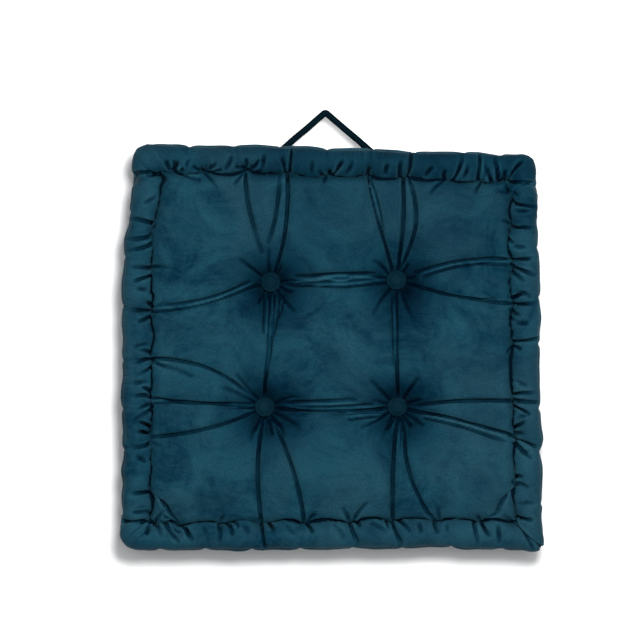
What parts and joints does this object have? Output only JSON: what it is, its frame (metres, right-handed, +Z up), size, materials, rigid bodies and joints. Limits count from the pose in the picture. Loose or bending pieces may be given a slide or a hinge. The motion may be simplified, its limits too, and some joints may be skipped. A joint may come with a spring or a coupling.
{
  "type": "floor cushion",
  "caption": "Square tufted velvet floor cushion with rolled edges on both faces, covered tufting buttons and a peaked strap handle on one side.",
  "frame": {"origin": "centre of the underside's resting face, midway between the edge rolls in X and Y", "axes": "+Z up out of the top panel, +Y towards the strap handle, +X along the handle's side"},
  "size_m": [0.418, 0.44, 0.084],
  "materials": {
    "velvet_panel": "short-pile velvet, teal blue",
    "velvet_boxing": "short-pile velvet, teal blue",
    "velvet_button": "short-pile velvet, teal blue",
    "velvet_strap": "folded velvet, dark teal",
    "seam_thread": "twisted polyester thread, dark teal",
    "handle_thread": "twisted polyester thread, teal",
    "tufting_twine": "waxed twine",
    "fibre_filling": "matted polyester fibre",
    "button_shell": "pressed tinplate",
    "button_back": "pressed tinplate with a wire loop"
  },
  "bodies": {
    "cushion": {"top_panel": "velvet_panel", "bottom_panel": "velvet_panel", "boxing_front": "velvet_boxing", "boxing_right": "velvet_boxing", "boxing_back": "velvet_boxing", "boxing_left": "velvet_boxing", "top_seam_thread": "seam_thread", "bottom_seam_thread": "seam_thread", "corner_seam_threads": "seam_thread", "top_edge_stitches": "seam_thread", "bottom_edge_stitches": "seam_thread", "core_filling": "fibre_filling", "top_roll_filling_front": "fibre_filling", "top_roll_filling_right": "fibre_filling", "top_roll_filling_back": "fibre_filling", "top_roll_filling_left": "fibre_filling", "bottom_roll_filling_front": "fibre_filling", "bottom_roll_filling_right": "fibre_filling", "bottom_roll_filling_back": "fibre_filling", "bottom_roll_filling_left": "fibre_filling", "top_button_cover_1": "velvet_button", "top_button_cover_2": "velvet_button", "top_button_cover_3": "velvet_button", "top_button_cover_4": "velvet_button", "top_button_shell_1": "button_shell", "top_button_shell_2": "button_shell", "top_button_shell_3": "button_shell", "top_button_shell_4": "button_shell", "top_button_back_1": "button_back", "top_button_back_2": "button_back", "top_button_back_3": "button_back", "top_button_back_4": "button_back", "bottom_button_cover_1": "velvet_button", "bottom_button_cover_2": "velvet_button", "bottom_button_cover_3": "velvet_button", "bottom_button_cover_4": "velvet_button", "bottom_button_shell_1": "button_shell", "bottom_button_shell_2": "button_shell", "bottom_button_shell_3": "button_shell", "bottom_button_shell_4": "button_shell", "bottom_button_back_1": "button_back", "bottom_button_back_2": "button_back", "bottom_button_back_3": "button_back", "bottom_button_back_4": "button_back", "tufting_twine_1": "tufting_twine", "tufting_twine_2": "tufting_twine", "tufting_twine_3": "tufting_twine", "tufting_twine_4": "tufting_twine", "handle_end_left": "velvet_strap", "handle_end_right": "velvet_strap", "handle_stitching_left": "handle_thread", "handle_stitching_right": "handle_thread"},
    "handle": {"handle_strap": "velvet_strap"}
  },
  "joints": [
    {"name": "handle_swing", "type": "hinge", "parent": "cushion", "child": "handle", "pos_m": [-0.007, 0.202, 0.04], "axis": [1, 0, 0], "range_deg": [-65, 65]}
  ]
}
